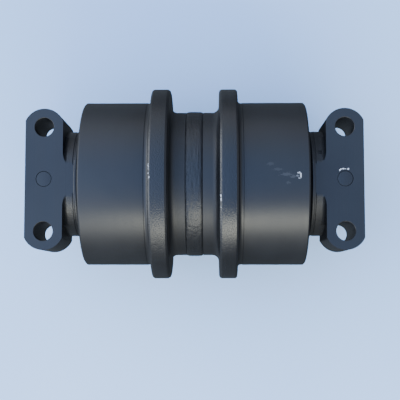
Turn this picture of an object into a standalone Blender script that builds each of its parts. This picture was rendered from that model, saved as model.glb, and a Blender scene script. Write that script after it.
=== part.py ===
"""Track roller of a crawler excavator, built as the assembly that comes apart on a bench.

Metres, +Z up. The shell turns about the Y axis and the origin is the middle of that axis. The two
collars carry the shaft, and their mounting faces look up along +Z, as they do under a track frame.
+X is the way the machine travels, so the collar at +Y is the left one.
"""

import math

import bmesh
import bpy

# Shell, outside. Radii are from the turning axis, and the distances are outwards from the middle.
TREAD_RADIUS = 0.0775
FLANGE_RADIUS = 0.0904
GROOVE_RADIUS = 0.0682
SHELL_HALF_WIDTH = 0.1037
SHELL_END_CHAMFER = 0.0020
TREAD_START = 0.0443
TREAD_FILLET = 0.0021
CROWN_OUTER_EDGE = 0.0389
CROWN_INNER_EDGE = 0.0247
CROWN_OUTER_CHAMFER = 0.0015
CROWN_INNER_CHAMFER = 0.0022
GROOVE_FILLET = 0.0060
FLANGE_INNER_SIDE = 0.0224

# Weld that joins the two forged halves.
WELD_HALF_WIDTH = 0.0079
WELD_ROOT_HALF_WIDTH = 0.0029
WELD_ROOT_RADIUS = 0.0540
WELD_CROWN = 0.0009

# Shell, inside.
OIL_CHAMBER_RADIUS = 0.0420
OIL_CHAMBER_HALF_WIDTH = 0.0280
BUSH_SEAT_START = 0.0330
FLANGE_SEAT_START = 0.0810
END_RECESS_RADIUS = 0.0520

# Shaft and bushes.
SHAFT_RADIUS = 0.0280
SHAFT_HALF_LENGTH = 0.1540
SHAFT_CHAMFER = 0.0015
BUSH_WALL = 0.0037
BUSH_FLANGE_RADIUS = 0.0401
BUSH_START = 0.0360

# Face seals: both rings of a pair meet in one plane, and each lies on a rubber ring in its housing.
SEAL_PLANE = 0.1000
HOUSING_FACE = 0.0015
HOUSING_DEPTH = 0.0145
HOUSING_MOUTH_RADIUS = 0.0460
HOUSING_THROAT_RADIUS = 0.0446
HOUSING_FLOOR_RADIUS = 0.0430
SEAL_RING_RADIUS = 0.0434
SEAL_RING_BORE = 0.0339
SEAL_RING_DEPTH = 0.0140
SEAL_SLOPE_RADIUS = 0.0374
TORIC_RADIUS = 0.04115
TORIC_CORD = 0.0038
TORIC_DEPTH = 0.0089

# Collars.
MOUNT_HEIGHT = 0.0480
COLLAR_OUTER_FACE = 0.1550
LUG_HALF_THICKNESS = 0.01725
LUG_END_RADIUS = 0.0189
LUG_END_CENTRE = 0.0462
LUG_BOTTOM = -0.0170
BOSS_RADIUS = 0.0500
COLLAR_RIM_END = 0.1097
RELIEF_RADIUS = 0.0488
RELIEF_END = 0.1116
HUB_RADIUS = 0.0330
THRUST_GAP = 0.0004
BOLT_SPACING = 0.0957
BOLT_HOLE_RADIUS = 0.00875
SPOT_FACE_RADIUS = 0.0155
SPOT_FACE_HEIGHT = -0.0155

# Small parts.
PIN_RADIUS = 0.0075
PIN_BOTTOM = 0.0120
PIN_CHAMFER = 0.0010
ORING_RADIUS = 0.0266
ORING_CORD = 0.0015
ORING_GROOVE_RADIUS = 0.0248
ORING_GROOVE_START = 0.1180
ORING_GROOVE_END = 0.1217
OIL_HOLE_RADIUS = 0.0040
CROSS_HOLE_RADIUS = 0.0030
PLUG_THREAD_RADIUS = 0.0069
PLUG_THREAD_END = 0.1362
PLUG_HEAD_RADIUS = 0.0110
PLUG_HEAD_BOTTOM = 0.1495
PLUG_HEAD_TOP = 0.1535
PLUG_SOCKET_FLATS = 0.0080
PLUG_SOCKET_BOTTOM = 0.1475
PLUG_SEAT = 0.1475
PLUG_RECESS_RADIUS = 0.0118
WASHER_RADIUS = 0.0106

GAP = 0.0003
LUG_MIDDLE = COLLAR_OUTER_FACE - LUG_HALF_THICKNESS
SPARE = 0.0050
LEFT, RIGHT = 1, -1
SIDES = {"left": LEFT, "right": RIGHT}

EDGE_BREAK = 0.0008
RELIEF_LEAD = 0.0006
HOUSING_CORNER = 0.0014
BUSH_LEAD = 0.0013
SEAL_RING_HEAD = 0.0030
SEAL_RING_NECK = 0.0052
SEAL_RING_TAPER = 0.0012
CROWN_LAND = 0.0001
LUG_SPARE = 0.0011
DRILL_TIP = 0.0020
OIL_HOLE_PAST_MIDDLE = 0.0060
ROUND_STEPS = 36
HOLE_STEPS = 16


def clear_scene():
    for old in list(bpy.data.objects):
        bpy.data.objects.remove(old)


def new_collection(name):
    collection = bpy.data.collections.new(name)
    bpy.context.scene.collection.children.link(collection)
    return collection


def new_material(name, colour, roughness, metallic):
    material = bpy.data.materials.new(name)
    material.use_nodes = True
    shader = material.node_tree.nodes["Principled BSDF"]
    shader.inputs["Base Color"].default_value = (*colour, 1.0)
    shader.inputs["Roughness"].default_value = roughness
    shader.inputs["Metallic"].default_value = metallic
    material.diffuse_color = (*colour, 1.0)
    return material


def new_empty(name):
    """A group's handle, at the middle of the turning axis."""
    empty = bpy.data.objects.new(name, None)
    parts.objects.link(empty)
    return empty


def new_object(name, mesh, collection):
    obj = bpy.data.objects.new(name, mesh)
    collection.objects.link(obj)
    return obj


def arc(centre, radius, start, end, steps):
    """Points of an arc in a profile: centre is (radius from axis, distance along it), angles in degrees."""
    points = []
    for step in range(steps + 1):
        angle = math.radians(start + (end - start) * step / steps)
        points.append((centre[0] + radius * math.cos(angle), centre[1] + radius * math.sin(angle)))
    return points


def turned(name, profile, side=LEFT, steps=ROUND_STEPS, collection=None):
    """Turns a profile of (radius, distance along the axis) about Y. A profile whose two ends lie on the
    axis stays open, and any other is closed into a ring. The distance counts outwards, to the side given."""
    mesh = bpy.data.meshes.new(name)
    count = len(profile)
    on_axis = profile[0][0] == 0 and profile[-1][0] == 0
    edges = [(i, i + 1) for i in range(count - 1)]
    if not on_axis:
        edges.append((count - 1, 0))
    mesh.from_pydata([(radius, 0.0, along) for radius, along in profile], edges, [])
    obj = new_object(name, mesh, collection or parts)
    obj.rotation_euler = (math.radians(-90 * side), 0, 0)
    screw = obj.modifiers.new("turn", "SCREW")
    screw.axis = "Z"
    screw.steps = steps
    screw.render_steps = steps
    screw.use_merge_vertices = True
    screw.merge_threshold = 0.00002
    return obj


def upright_cylinder(name, radius, bottom, top, x, y, steps=HOLE_STEPS):
    """A cutter that stands along Z, from bottom to top."""
    mesh = bpy.data.meshes.new(name)
    shape = bmesh.new()
    bmesh.ops.create_cone(
        shape, cap_ends=True, segments=steps, radius1=radius, radius2=radius, depth=top - bottom
    )
    shape.to_mesh(mesh)
    shape.free()
    obj = new_object(name, mesh, cutters)
    obj.location = (x, y, (bottom + top) / 2)
    return obj


def block(name, low, high):
    """A box cutter between two corners."""
    mesh = bpy.data.meshes.new(name)
    shape = bmesh.new()
    bmesh.ops.create_cube(shape, size=1.0)
    bmesh.ops.scale(shape, vec=[b - a for a, b in zip(low, high)], verts=shape.verts)
    shape.to_mesh(mesh)
    shape.free()
    obj = new_object(name, mesh, cutters)
    obj.location = [(a + b) / 2 for a, b in zip(low, high)]
    return obj


def outline_prism(name, outline, bottom, top):
    """A flat outline in X and Y, given a height along Z, as a closed mesh."""
    curve = bpy.data.curves.new(name, "CURVE")
    curve.dimensions = "2D"
    curve.fill_mode = "BOTH"
    curve.extrude = (top - bottom) / 2
    spline = curve.splines.new("POLY")
    spline.points.add(len(outline) - 1)
    for point, (x, y) in zip(spline.points, outline):
        point.co = (x, y, 0, 1)
    spline.use_cyclic_u = True
    drawn = new_object(name + "_outline", curve, cutters)
    drawn.location = (0, 0, (bottom + top) / 2)
    bpy.context.view_layer.update()
    graph = bpy.context.evaluated_depsgraph_get()
    mesh = bpy.data.meshes.new_from_object(drawn.evaluated_get(graph))
    shape = bmesh.new()
    shape.from_mesh(mesh)
    bmesh.ops.remove_doubles(shape, verts=shape.verts, dist=0.00001)
    shape.to_mesh(mesh)
    shape.free()
    obj = new_object(name, mesh, cutters)
    obj.matrix_world = drawn.matrix_world.copy()
    bpy.data.objects.remove(drawn)
    return obj


def combine(obj, other, operation):
    """Cuts the other shape from obj, or joins it on, and keeps the other as a hidden helper."""
    other.hide_render = True
    other.display_type = "WIRE"
    boolean = obj.modifiers.new(other.name, "BOOLEAN")
    boolean.operation = operation
    boolean.solver = "EXACT"
    boolean.object = other


def finish(obj, material, group):
    """Keeps what the modifiers made, shades it smooth between its edges, and paints and groups it."""
    bpy.context.view_layer.update()
    graph = bpy.context.evaluated_depsgraph_get()
    mesh = bpy.data.meshes.new_from_object(obj.evaluated_get(graph))
    mesh.name = obj.name
    mesh.materials.clear()
    mesh.materials.append(material)
    mesh.shade_smooth()
    mesh.set_sharp_from_angle(angle=math.radians(30))
    obj.modifiers.clear()
    obj.data = mesh
    obj.parent = group


def shell_half_profile():
    """One forged half of the shell, from the end face over the tread, flange and groove, and back inside."""
    outside = [
        (TREAD_RADIUS - SHELL_END_CHAMFER, SHELL_HALF_WIDTH),
        (TREAD_RADIUS, SHELL_HALF_WIDTH - SHELL_END_CHAMFER),
    ]
    outside += arc((TREAD_RADIUS + TREAD_FILLET, TREAD_START), TREAD_FILLET, 180, 270, 3)
    outside += [
        (FLANGE_RADIUS - CROWN_OUTER_CHAMFER, CROWN_OUTER_EDGE + CROWN_OUTER_CHAMFER),
        (FLANGE_RADIUS, CROWN_OUTER_EDGE),
        (FLANGE_RADIUS, CROWN_INNER_EDGE),
        (FLANGE_RADIUS - CROWN_INNER_CHAMFER, FLANGE_INNER_SIDE + CROWN_LAND),
    ]
    fillet_centre = (GROOVE_RADIUS + GROOVE_FILLET, FLANGE_INNER_SIDE - GROOVE_FILLET)
    outside += arc(fillet_centre, -GROOVE_FILLET, -90, 0, 4)
    outside += [
        (GROOVE_RADIUS, WELD_HALF_WIDTH),
        (WELD_ROOT_RADIUS, WELD_ROOT_HALF_WIDTH),
        (WELD_ROOT_RADIUS, GAP / 2),
    ]
    inside = [
        (OIL_CHAMBER_RADIUS, GAP / 2),
        (OIL_CHAMBER_RADIUS, OIL_CHAMBER_HALF_WIDTH),
        (SHAFT_RADIUS + GAP + BUSH_WALL + GAP, BUSH_SEAT_START),
        (SHAFT_RADIUS + GAP + BUSH_WALL + GAP, FLANGE_SEAT_START),
        (BUSH_FLANGE_RADIUS + GAP, FLANGE_SEAT_START),
        (BUSH_FLANGE_RADIUS + GAP, SEAL_PLANE - HOUSING_DEPTH),
    ]
    inside += [(r, SEAL_PLANE - depth) for r, depth in reversed(housing_wall())]
    inside += [
        (END_RECESS_RADIUS, SEAL_PLANE - HOUSING_FACE),
        (END_RECESS_RADIUS, SHELL_HALF_WIDTH),
    ]
    return outside + inside


def housing_wall():
    """Wall of a face seal's housing as (radius, depth from the seal plane), from its mouth to its floor."""
    return [
        (HOUSING_MOUTH_RADIUS, HOUSING_FACE),
        (HOUSING_THROAT_RADIUS, HOUSING_DEPTH - HOUSING_CORNER),
        (HOUSING_FLOOR_RADIUS, HOUSING_DEPTH),
    ]


def weld_profile():
    """The weld fills the groove between the halves and stands a little proud of it."""
    slope = (WELD_HALF_WIDTH - WELD_ROOT_HALF_WIDTH) / (GROOVE_RADIUS - WELD_ROOT_RADIUS)
    toe = WELD_HALF_WIDTH - GAP
    root_radius = WELD_ROOT_RADIUS + GAP
    root = toe - (GROOVE_RADIUS - root_radius) * slope
    crown = [
        (GROOVE_RADIUS + WELD_CROWN * 0.2, toe),
        (GROOVE_RADIUS + WELD_CROWN * 0.8, toe * 0.72),
        (GROOVE_RADIUS + WELD_CROWN, 0.0),
        (GROOVE_RADIUS + WELD_CROWN * 0.8, -toe * 0.72),
        (GROOVE_RADIUS + WELD_CROWN * 0.2, -toe),
    ]
    return crown + [(root_radius, -root), (root_radius, root)]


def bush_profile():
    """A bush with its flange outwards, where the collar's hub runs against it."""
    bore = SHAFT_RADIUS + GAP
    face = SEAL_PLANE - HOUSING_DEPTH
    return [
        (BUSH_FLANGE_RADIUS, face),
        (BUSH_FLANGE_RADIUS, FLANGE_SEAT_START + GAP),
        (bore + BUSH_WALL, FLANGE_SEAT_START + GAP),
        (bore + BUSH_WALL, BUSH_START + BUSH_LEAD),
        (bore + BUSH_WALL - BUSH_LEAD, BUSH_START),
        (bore, BUSH_START),
        (bore, face),
    ]


def seal_ring_profile(direction):
    """A metal face-seal ring as (radius, distance along the axis). Its body lies to the direction's side
    of the seal plane: -1 is inwards, in the shell, and 1 outwards, in the collar."""
    face = GAP / 2
    section = [
        (SEAL_RING_RADIUS, face),
        (SEAL_RING_RADIUS, SEAL_RING_HEAD),
        (SEAL_SLOPE_RADIUS, SEAL_RING_NECK),
        (SEAL_SLOPE_RADIUS - SEAL_RING_TAPER, SEAL_RING_DEPTH),
        (SEAL_RING_BORE, SEAL_RING_DEPTH),
        (SEAL_RING_BORE, face),
    ]
    if direction > 0:
        section.reverse()
    return [(radius, SEAL_PLANE + direction * depth) for radius, depth in section]


def collar_body_profile():
    """The round body of a collar: boss, rim, seal housing and hub, solid on the axis."""
    return [
        (0, COLLAR_OUTER_FACE + SPARE),
        (BOSS_RADIUS, COLLAR_OUTER_FACE + SPARE),
        (BOSS_RADIUS, RELIEF_END),
        (RELIEF_RADIUS, RELIEF_END - RELIEF_LEAD),
        (RELIEF_RADIUS, COLLAR_RIM_END + RELIEF_LEAD),
        (BOSS_RADIUS, COLLAR_RIM_END),
        (BOSS_RADIUS, SEAL_PLANE + HOUSING_FACE + EDGE_BREAK),
        (BOSS_RADIUS - EDGE_BREAK, SEAL_PLANE + HOUSING_FACE),
        *[(radius, SEAL_PLANE + depth) for radius, depth in housing_wall()],
        (HUB_RADIUS, SEAL_PLANE + HOUSING_DEPTH),
        (HUB_RADIUS, SEAL_PLANE - HOUSING_DEPTH + THRUST_GAP),
        (0, SEAL_PLANE - HOUSING_DEPTH + THRUST_GAP),
    ]


def lug_outline():
    """Plan of a collar's lug, seen from above: two round ends and straight sides. Its outer side runs on
    past the collar's outer face, which is cut flat afterwards."""
    inner_angle = math.degrees(math.asin(LUG_HALF_THICKNESS / LUG_END_RADIUS))
    outer_angle = math.degrees(math.asin((LUG_HALF_THICKNESS + LUG_SPARE) / LUG_END_RADIUS))
    end = arc((LUG_END_CENTRE, 0), LUG_END_RADIUS, -inner_angle, outer_angle, 12)
    outline = end + [(-x, y) for x, y in reversed(end)]
    return [(x, LUG_MIDDLE + y) for x, y in outline]


def shaft_profile():
    """The shaft, with an O-ring groove under each collar."""
    half = [
        (0, SHAFT_HALF_LENGTH),
        (SHAFT_RADIUS - SHAFT_CHAMFER, SHAFT_HALF_LENGTH),
        (SHAFT_RADIUS, SHAFT_HALF_LENGTH - SHAFT_CHAMFER),
        (SHAFT_RADIUS, ORING_GROOVE_END),
        (ORING_GROOVE_RADIUS, ORING_GROOVE_END),
        (ORING_GROOVE_RADIUS, ORING_GROOVE_START),
        (SHAFT_RADIUS, ORING_GROOVE_START),
    ]
    return half + [(radius, -along) for radius, along in reversed(half)]


def gallery_profile():
    """The oil way drilled from the right end of the shaft: plug recess, thread and hole, past the middle."""
    thread = PLUG_THREAD_RADIUS + GAP
    return [
        (0, SHAFT_HALF_LENGTH + SPARE),
        (PLUG_RECESS_RADIUS, SHAFT_HALF_LENGTH + SPARE),
        (PLUG_RECESS_RADIUS, PLUG_SEAT),
        (thread, PLUG_SEAT),
        (thread, PLUG_THREAD_END - DRILL_TIP),
        (OIL_HOLE_RADIUS, PLUG_THREAD_END - 2 * DRILL_TIP),
        (OIL_HOLE_RADIUS, -OIL_HOLE_PAST_MIDDLE),
        (0, -OIL_HOLE_PAST_MIDDLE - DRILL_TIP),
    ]


def plug_profile():
    return [
        (0, PLUG_HEAD_TOP),
        (PLUG_HEAD_RADIUS - EDGE_BREAK, PLUG_HEAD_TOP),
        (PLUG_HEAD_RADIUS, PLUG_HEAD_TOP - EDGE_BREAK),
        (PLUG_HEAD_RADIUS, PLUG_HEAD_BOTTOM),
        (PLUG_THREAD_RADIUS, PLUG_HEAD_BOTTOM),
        (PLUG_THREAD_RADIUS, PLUG_THREAD_END + EDGE_BREAK),
        (PLUG_THREAD_RADIUS - EDGE_BREAK, PLUG_THREAD_END),
        (0, PLUG_THREAD_END),
    ]


def make_shell():
    for name, side in SIDES.items():
        half = turned(f"shell_half_{name}", shell_half_profile(), side)
        finish(half, paint, shell_group)
    bead = turned("weld_bead", weld_profile())
    finish(bead, paint, shell_group)


def make_bushes():
    for name, side in SIDES.items():
        finish(turned(f"bush_{name}", bush_profile(), side), bronze, shell_group)


def make_seals():
    for name, side in SIDES.items():
        for place, direction, group in (("shell", -1, shell_group), ("collar", 1, axle_group)):
            ring = turned(f"seal_ring_{place}_{name}", seal_ring_profile(direction), side)
            finish(ring, seal_iron, group)
            along = SEAL_PLANE + direction * TORIC_DEPTH
            torus(f"toric_ring_{place}_{name}", TORIC_RADIUS, TORIC_CORD, side * along, 6, group)


def torus(name, radius, cord_radius, along, cord_steps, group):
    """A rubber ring round the axis."""
    bpy.ops.mesh.primitive_torus_add(
        major_radius=radius,
        minor_radius=cord_radius,
        major_segments=ROUND_STEPS,
        minor_segments=cord_steps,
        location=(0, along, 0),
        rotation=(math.radians(90), 0, 0),
    )
    obj = bpy.context.object
    obj.name = name
    for collection in list(obj.users_collection):
        collection.objects.unlink(obj)
    parts.objects.link(obj)
    finish(obj, rubber, group)


def make_collars():
    for name, side in SIDES.items():
        collar = turned(f"collar_{name}", collar_body_profile(), side)
        for shape, operation in collar_cutters(name, side):
            combine(collar, shape, operation)
        finish(collar, paint, axle_group)


def collar_cutters(name, side):
    """The lug that is joined to a collar's round body, and all that is then cut from both."""
    lug = outline_prism(f"lug_{name}", lug_outline(), LUG_BOTTOM, MOUNT_HEIGHT + SPARE)
    if side == RIGHT:
        lug.rotation_euler = (0, 0, math.pi)
    far = COLLAR_OUTER_FACE + 2 * SPARE
    reach = LUG_END_CENTRE + LUG_END_RADIUS + SPARE
    ends = sorted((side * COLLAR_OUTER_FACE, side * far))
    milled = sorted((side * (COLLAR_RIM_END + RELIEF_END) / 2, side * far))
    above = block(
        f"above_{name}", (-reach, milled[0], MOUNT_HEIGHT), (reach, milled[1], MOUNT_HEIGHT + 4 * SPARE)
    )
    beyond = block(f"beyond_{name}", (-reach, ends[0], -reach), (reach, ends[1], reach))
    bore_profile = [
        (0, far),
        (SHAFT_RADIUS + GAP, far),
        (SHAFT_RADIUS + GAP, SEAL_PLANE - HOUSING_DEPTH - SPARE),
        (0, SEAL_PLANE - HOUSING_DEPTH - SPARE),
    ]
    bore = turned(f"bore_{name}", bore_profile, side, collection=cutters)
    middle = side * LUG_MIDDLE
    shapes = [(lug, "UNION"), (above, "DIFFERENCE"), (beyond, "DIFFERENCE"), (bore, "DIFFERENCE")]
    for end in (-1, 1):
        x = end * BOLT_SPACING / 2
        hole = upright_cylinder(f"bolt_hole_{name}_{end}", BOLT_HOLE_RADIUS, -reach, reach, x, middle)
        seat = upright_cylinder(
            f"bolt_seat_{name}_{end}", SPOT_FACE_RADIUS, -reach, SPOT_FACE_HEIGHT, x, middle, 32
        )
        shapes += [(hole, "DIFFERENCE"), (seat, "DIFFERENCE")]
    pin_hole = upright_cylinder(f"pin_hole_{name}", PIN_RADIUS + GAP, 0.0, reach, 0, middle)
    shapes.append((pin_hole, "DIFFERENCE"))
    return shapes


def make_shaft():
    shaft = turned("shaft", shaft_profile())
    combine(shaft, turned("gallery", gallery_profile(), RIGHT, HOLE_STEPS, cutters), "DIFFERENCE")
    cross = upright_cylinder("cross_hole", CROSS_HOLE_RADIUS, -2 * SHAFT_RADIUS, 2 * SHAFT_RADIUS, 0, 0, 12)
    cross.rotation_euler = (0, math.radians(90), 0)
    combine(shaft, cross, "DIFFERENCE")
    for name, side in SIDES.items():
        y = side * LUG_MIDDLE
        seat = upright_cylinder(
            f"pin_seat_{name}", PIN_RADIUS + GAP, PIN_BOTTOM - GAP, 2 * SHAFT_RADIUS, 0, y
        )
        combine(shaft, seat, "DIFFERENCE")
    finish(shaft, steel, axle_group)


def make_pins():
    """A solid pin locks each collar to the shaft, driven in flush with the mounting face."""
    top = MOUNT_HEIGHT - GAP
    profile = [
        (0, top),
        (PIN_RADIUS - PIN_CHAMFER, top),
        (PIN_RADIUS, top - PIN_CHAMFER),
        (PIN_RADIUS, PIN_BOTTOM + PIN_CHAMFER),
        (PIN_RADIUS - PIN_CHAMFER, PIN_BOTTOM),
        (0, PIN_BOTTOM),
    ]
    for name, side in SIDES.items():
        pin = turned(f"lock_pin_{name}", profile, side, HOLE_STEPS)
        pin.rotation_euler = (0, 0, 0)
        pin.location = (0, side * LUG_MIDDLE, 0)
        finish(pin, paint, axle_group)


def make_orings():
    middle = (ORING_GROOVE_START + ORING_GROOVE_END) / 2
    for name, side in SIDES.items():
        torus(f"shaft_oring_{name}", ORING_RADIUS, ORING_CORD, side * middle, 6, axle_group)


def make_plug():
    plug = turned("filler_plug", plug_profile(), RIGHT, HOLE_STEPS)
    corner = PLUG_SOCKET_FLATS / 2 / math.cos(math.radians(30))
    socket_profile = [
        (0, SHAFT_HALF_LENGTH + SPARE),
        (corner, SHAFT_HALF_LENGTH + SPARE),
        (corner, PLUG_SOCKET_BOTTOM),
        (0, PLUG_SOCKET_BOTTOM),
    ]
    combine(plug, turned("plug_socket", socket_profile, RIGHT, 6, cutters), "DIFFERENCE")
    finish(plug, paint, axle_group)
    washer_profile = [
        (WASHER_RADIUS, PLUG_HEAD_BOTTOM - GAP),
        (WASHER_RADIUS, PLUG_SEAT + GAP),
        (PLUG_THREAD_RADIUS + GAP, PLUG_SEAT + GAP),
        (PLUG_THREAD_RADIUS + GAP, PLUG_HEAD_BOTTOM - GAP),
    ]
    finish(turned("plug_washer", washer_profile, RIGHT, HOLE_STEPS), copper, axle_group)


clear_scene()
parts = new_collection("track_roller")
cutters = new_collection("cutters")
paint = new_material("black_paint", (0.030, 0.033, 0.038), 0.42, 0.0)
steel = new_material("shaft_steel", (0.46, 0.46, 0.47), 0.30, 1.0)
bronze = new_material("bush_bronze", (0.55, 0.36, 0.16), 0.35, 1.0)
seal_iron = new_material("seal_iron", (0.36, 0.36, 0.37), 0.22, 1.0)
rubber = new_material("rubber", (0.02, 0.02, 0.02), 0.70, 0.0)
copper = new_material("copper", (0.72, 0.36, 0.22), 0.32, 1.0)
axle_group = new_empty("axle")
shell_group = new_empty("roller")

make_shell()
make_bushes()
make_seals()
make_collars()
make_shaft()
make_pins()
make_orings()
make_plug()
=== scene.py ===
# %% [markdown]
# # A track roller, from forging to paint
# A crawler's chain runs under rollers like this one. A steel shell with two flanges turns on a fixed shaft,
# and a collar at each end bolts the shaft to the track frame. This lesson makes the visible pieces finer
# than their plain CAD solids, and paints them the way the real roller is painted: as one object, after
# assembly.

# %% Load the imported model
import math

import bpy
from mathutils import Matrix, Vector, noise


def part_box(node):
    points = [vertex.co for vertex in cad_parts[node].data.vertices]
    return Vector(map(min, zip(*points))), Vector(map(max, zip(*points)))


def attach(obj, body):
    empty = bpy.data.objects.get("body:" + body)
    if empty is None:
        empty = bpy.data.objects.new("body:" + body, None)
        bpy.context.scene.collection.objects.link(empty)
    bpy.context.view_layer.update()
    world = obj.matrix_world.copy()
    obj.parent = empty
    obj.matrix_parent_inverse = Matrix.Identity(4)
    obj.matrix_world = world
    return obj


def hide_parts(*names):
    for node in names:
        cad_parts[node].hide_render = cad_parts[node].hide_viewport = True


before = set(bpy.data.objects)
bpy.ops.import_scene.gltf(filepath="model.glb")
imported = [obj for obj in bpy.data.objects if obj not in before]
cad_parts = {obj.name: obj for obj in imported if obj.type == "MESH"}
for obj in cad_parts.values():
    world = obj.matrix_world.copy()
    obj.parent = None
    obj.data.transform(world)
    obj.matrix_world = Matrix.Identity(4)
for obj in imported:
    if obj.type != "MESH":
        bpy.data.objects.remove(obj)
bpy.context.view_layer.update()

# %% [markdown]
# The imported model gives the driving sizes. The shaft lies along Y with the machine's left at +Y, the
# mounting faces look up along +Z, and the machine travels along +X. What the model can't tell, such as how a
# corner is rounded, is named where it is first needed, in millimetres.

# %% Sizes from the imported model
MM = 0.001
PIN_BELOW_FACE = 0.3 * MM

shell_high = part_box("shell_half_left")[1]
collar_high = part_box("collar_left")[1]
pin_low, pin_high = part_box("lock_pin_left")
FLANGE_RADIUS = shell_high.x
SHELL_END = shell_high.y
MOUNT_HEIGHT = pin_high.z + PIN_BELOW_FACE
OUTER_FACE = collar_high.y
PIN_RADIUS = (pin_high.x - pin_low.x) / 2
LUG_MIDDLE = (pin_high.y + pin_low.y) / 2
LUG_HALF = OUTER_FACE - LUG_MIDDLE
LUG_REACH = collar_high.x
SHAFT_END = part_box("shaft")[1].y
SHAFT_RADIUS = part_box("shaft")[1].x
BEAD_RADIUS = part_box("weld_bead")[1].x
BEAD_HALF_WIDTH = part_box("weld_bead")[1].y
for label, size in (("flange", FLANGE_RADIUS), ("shell end", SHELL_END), ("mounting face", MOUNT_HEIGHT)):
    print(label, "at", round(size / MM, 1), "mm")

# %% [markdown]
# The roller lies on its flanges on a pale floor, and the camera hangs almost straight above it. The camera
# is placed by two points, where it hangs and what it looks at, with +X as its up. A long lens keeps the
# cylinders from bulging.

# %% Camera
CAMERA_PLACE = Vector((-96.1, -18.5, 924.7)) * MM
CAMERA_TARGET = Vector((-15.4, -4.6, 0.0)) * MM
LENS = 87.0


def facing(place, target, up):
    """The matrix of something that hangs at a place, looks at a target and keeps up upwards."""
    back = (place - target).normalized()
    right = up.cross(back).normalized()
    turn = Matrix((right, back.cross(right), back)).transposed().to_4x4()
    return Matrix.Translation(place) @ turn


camera_data = bpy.data.cameras.new("camera")
camera_data.lens = LENS
camera = bpy.data.objects.new("camera", camera_data)
bpy.context.scene.collection.objects.link(camera)
camera.matrix_world = facing(CAMERA_PLACE, CAMERA_TARGET, Vector((1, 0, 0)))
bpy.context.scene.camera = camera
print("camera", round((CAMERA_PLACE - CAMERA_TARGET).length, 3), "m from its target")

# %% [markdown]
# The sky, the floor and the finishes are all made of shader nodes. Adding a node takes a line for the node,
# one for each value and one for each link, so a small helper does all three, and another one adds a sum.

# %% Adding nodes
def fill(tree, sockets, values):
    """Gives each named socket its value, or a link if the value is another node's output."""
    for key, value in values.items():
        if isinstance(value, bpy.types.NodeSocket):
            tree.links.new(value, sockets[key])
        else:
            sockets[key].default_value = value


def add(tree, kind, inputs=None, **settings):
    """Adds a node, sets its properties and fills its inputs."""
    made = tree.nodes.new(kind)
    for key, value in settings.items():
        setattr(made, key, value)
    fill(tree, made.inputs, inputs or {})
    return made


def maths(tree, operation, first, second=0.0, third=0.0):
    return add(tree, "ShaderNodeMath", {0: first, 1: second, 2: third}, operation=operation).outputs[0]


print("node helpers:", fill.__name__, add.__name__, maths.__name__)

# %% [markdown]
# The light is soft, as in open shade. A picture of a sky could light it, but a world made of a few tones is
# easier to steer: each tone belongs to a height, from -1 straight below to 1 straight above. It is blue
# overhead, greyer at the horizon and dim below. It also leans: it is brighter towards +Y, which lights the
# edges that face that way, and the lean ends before the far side turns black.

# %% Sky
SKY = [
    (-1.00, (0.10, 0.12, 0.15)),
    (-0.60, (0.21, 0.24, 0.28)),
    (-0.15, (0.30, 0.33, 0.37)),
    (0.06, (1.02, 1.04, 1.12)),
    (0.45, (1.22, 1.38, 1.68)),
    (1.00, (1.00, 1.46, 2.62)),
]
SKY_STRENGTH = 1.0
SKY_LEAN = 1.3
SKY_LEAN_END = -0.35

world = bpy.data.worlds.new("open_shade")
world.use_nodes = True
sky = world.node_tree
sky_direction = add(sky, "ShaderNodeTexCoord").outputs["Generated"]
sky_parts = add(sky, "ShaderNodeSeparateXYZ", {0: sky_direction}).outputs
lowest, highest = SKY[0][0], SKY[-1][0]
height_limits = {"Value": sky_parts["Z"], "From Min": lowest, "From Max": highest}
sky_height = add(sky, "ShaderNodeMapRange", height_limits).outputs["Result"]
sky_ramp = add(sky, "ShaderNodeValToRGB", {"Fac": sky_height})
sky_steps = sky_ramp.color_ramp.elements
brightest = max(max(colour) for _, colour in SKY)
for height, _ in SKY[1:-1]:
    sky_steps.new((height - lowest) / (highest - lowest))
for step, (height, colour) in zip(sky_steps, SKY):
    step.position = (height - lowest) / (highest - lowest)
    step.color = (*(channel / brightest for channel in colour), 1)
sky_level = SKY_STRENGTH * brightest
sky_side = maths(sky, "MAXIMUM", sky_parts["Y"], SKY_LEAN_END)
sky_strength = maths(sky, "MULTIPLY_ADD", sky_side, SKY_LEAN * sky_level, sky_level)
fill(sky, sky.nodes["Background"].inputs, {"Color": sky_ramp.outputs["Color"], "Strength": sky_strength})
bpy.context.scene.world = world
print("sky:", len(sky_steps), "tones, brightest", round(brightest, 2))

# %% [markdown]
# Two area lights do what windows would. A wide warm panel, low on the rear side, lays the long highlight
# along the cylinders, and one at the left end draws thin bright lines on the flanges' edges. An area light
# gives a highlight with soft ends, where a spot or a sun would give a hard streak.

# %% Panels
PANELS = [
    ("rear_panel", (-1.36, -0.30, 0.88), (1.7, 0.62), 27.5, (1.0, 0.99, 0.82)),
    ("left_panel", (0.0, 1.60, 0.42), (2.6, 0.55), 19.0, (0.90, 0.96, 1.0)),
]


def soft_panel(name, place, size, power, colour):
    """An area light that looks at the origin. Its first size lies level and its second one stands."""
    data = bpy.data.lights.new(name, "AREA")
    data.shape = "RECTANGLE"
    data.size, data.size_y = size
    data.energy = power
    data.color = colour
    light = bpy.data.objects.new(name, data)
    bpy.context.scene.collection.objects.link(light)
    light.matrix_world = facing(Vector(place), Vector((0, 0, 0)), Vector((0, 0, 1)))
    return light


for panel_values in PANELS:
    print(soft_panel(*panel_values).name, "at", panel_values[1])

# %% [markdown]
# The floor is a plain sheet, and only a stage. It starts as a plane and gets a faint, cloudy tone from one
# noise. Polished paint would mirror so bright a floor too strongly, so the floor is left out of
# reflections, and the dim lower half of the world stands in for it.

# %% Floor
FLOOR_SIZE = 6.0
FLOOR_TONES = ((0.42, 0.63, 0.95, 1), (0.54, 0.76, 1.0, 1))
FLOOR_CLOUDS = 3.0
FLOOR_ROUGHNESS = 0.7


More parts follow.
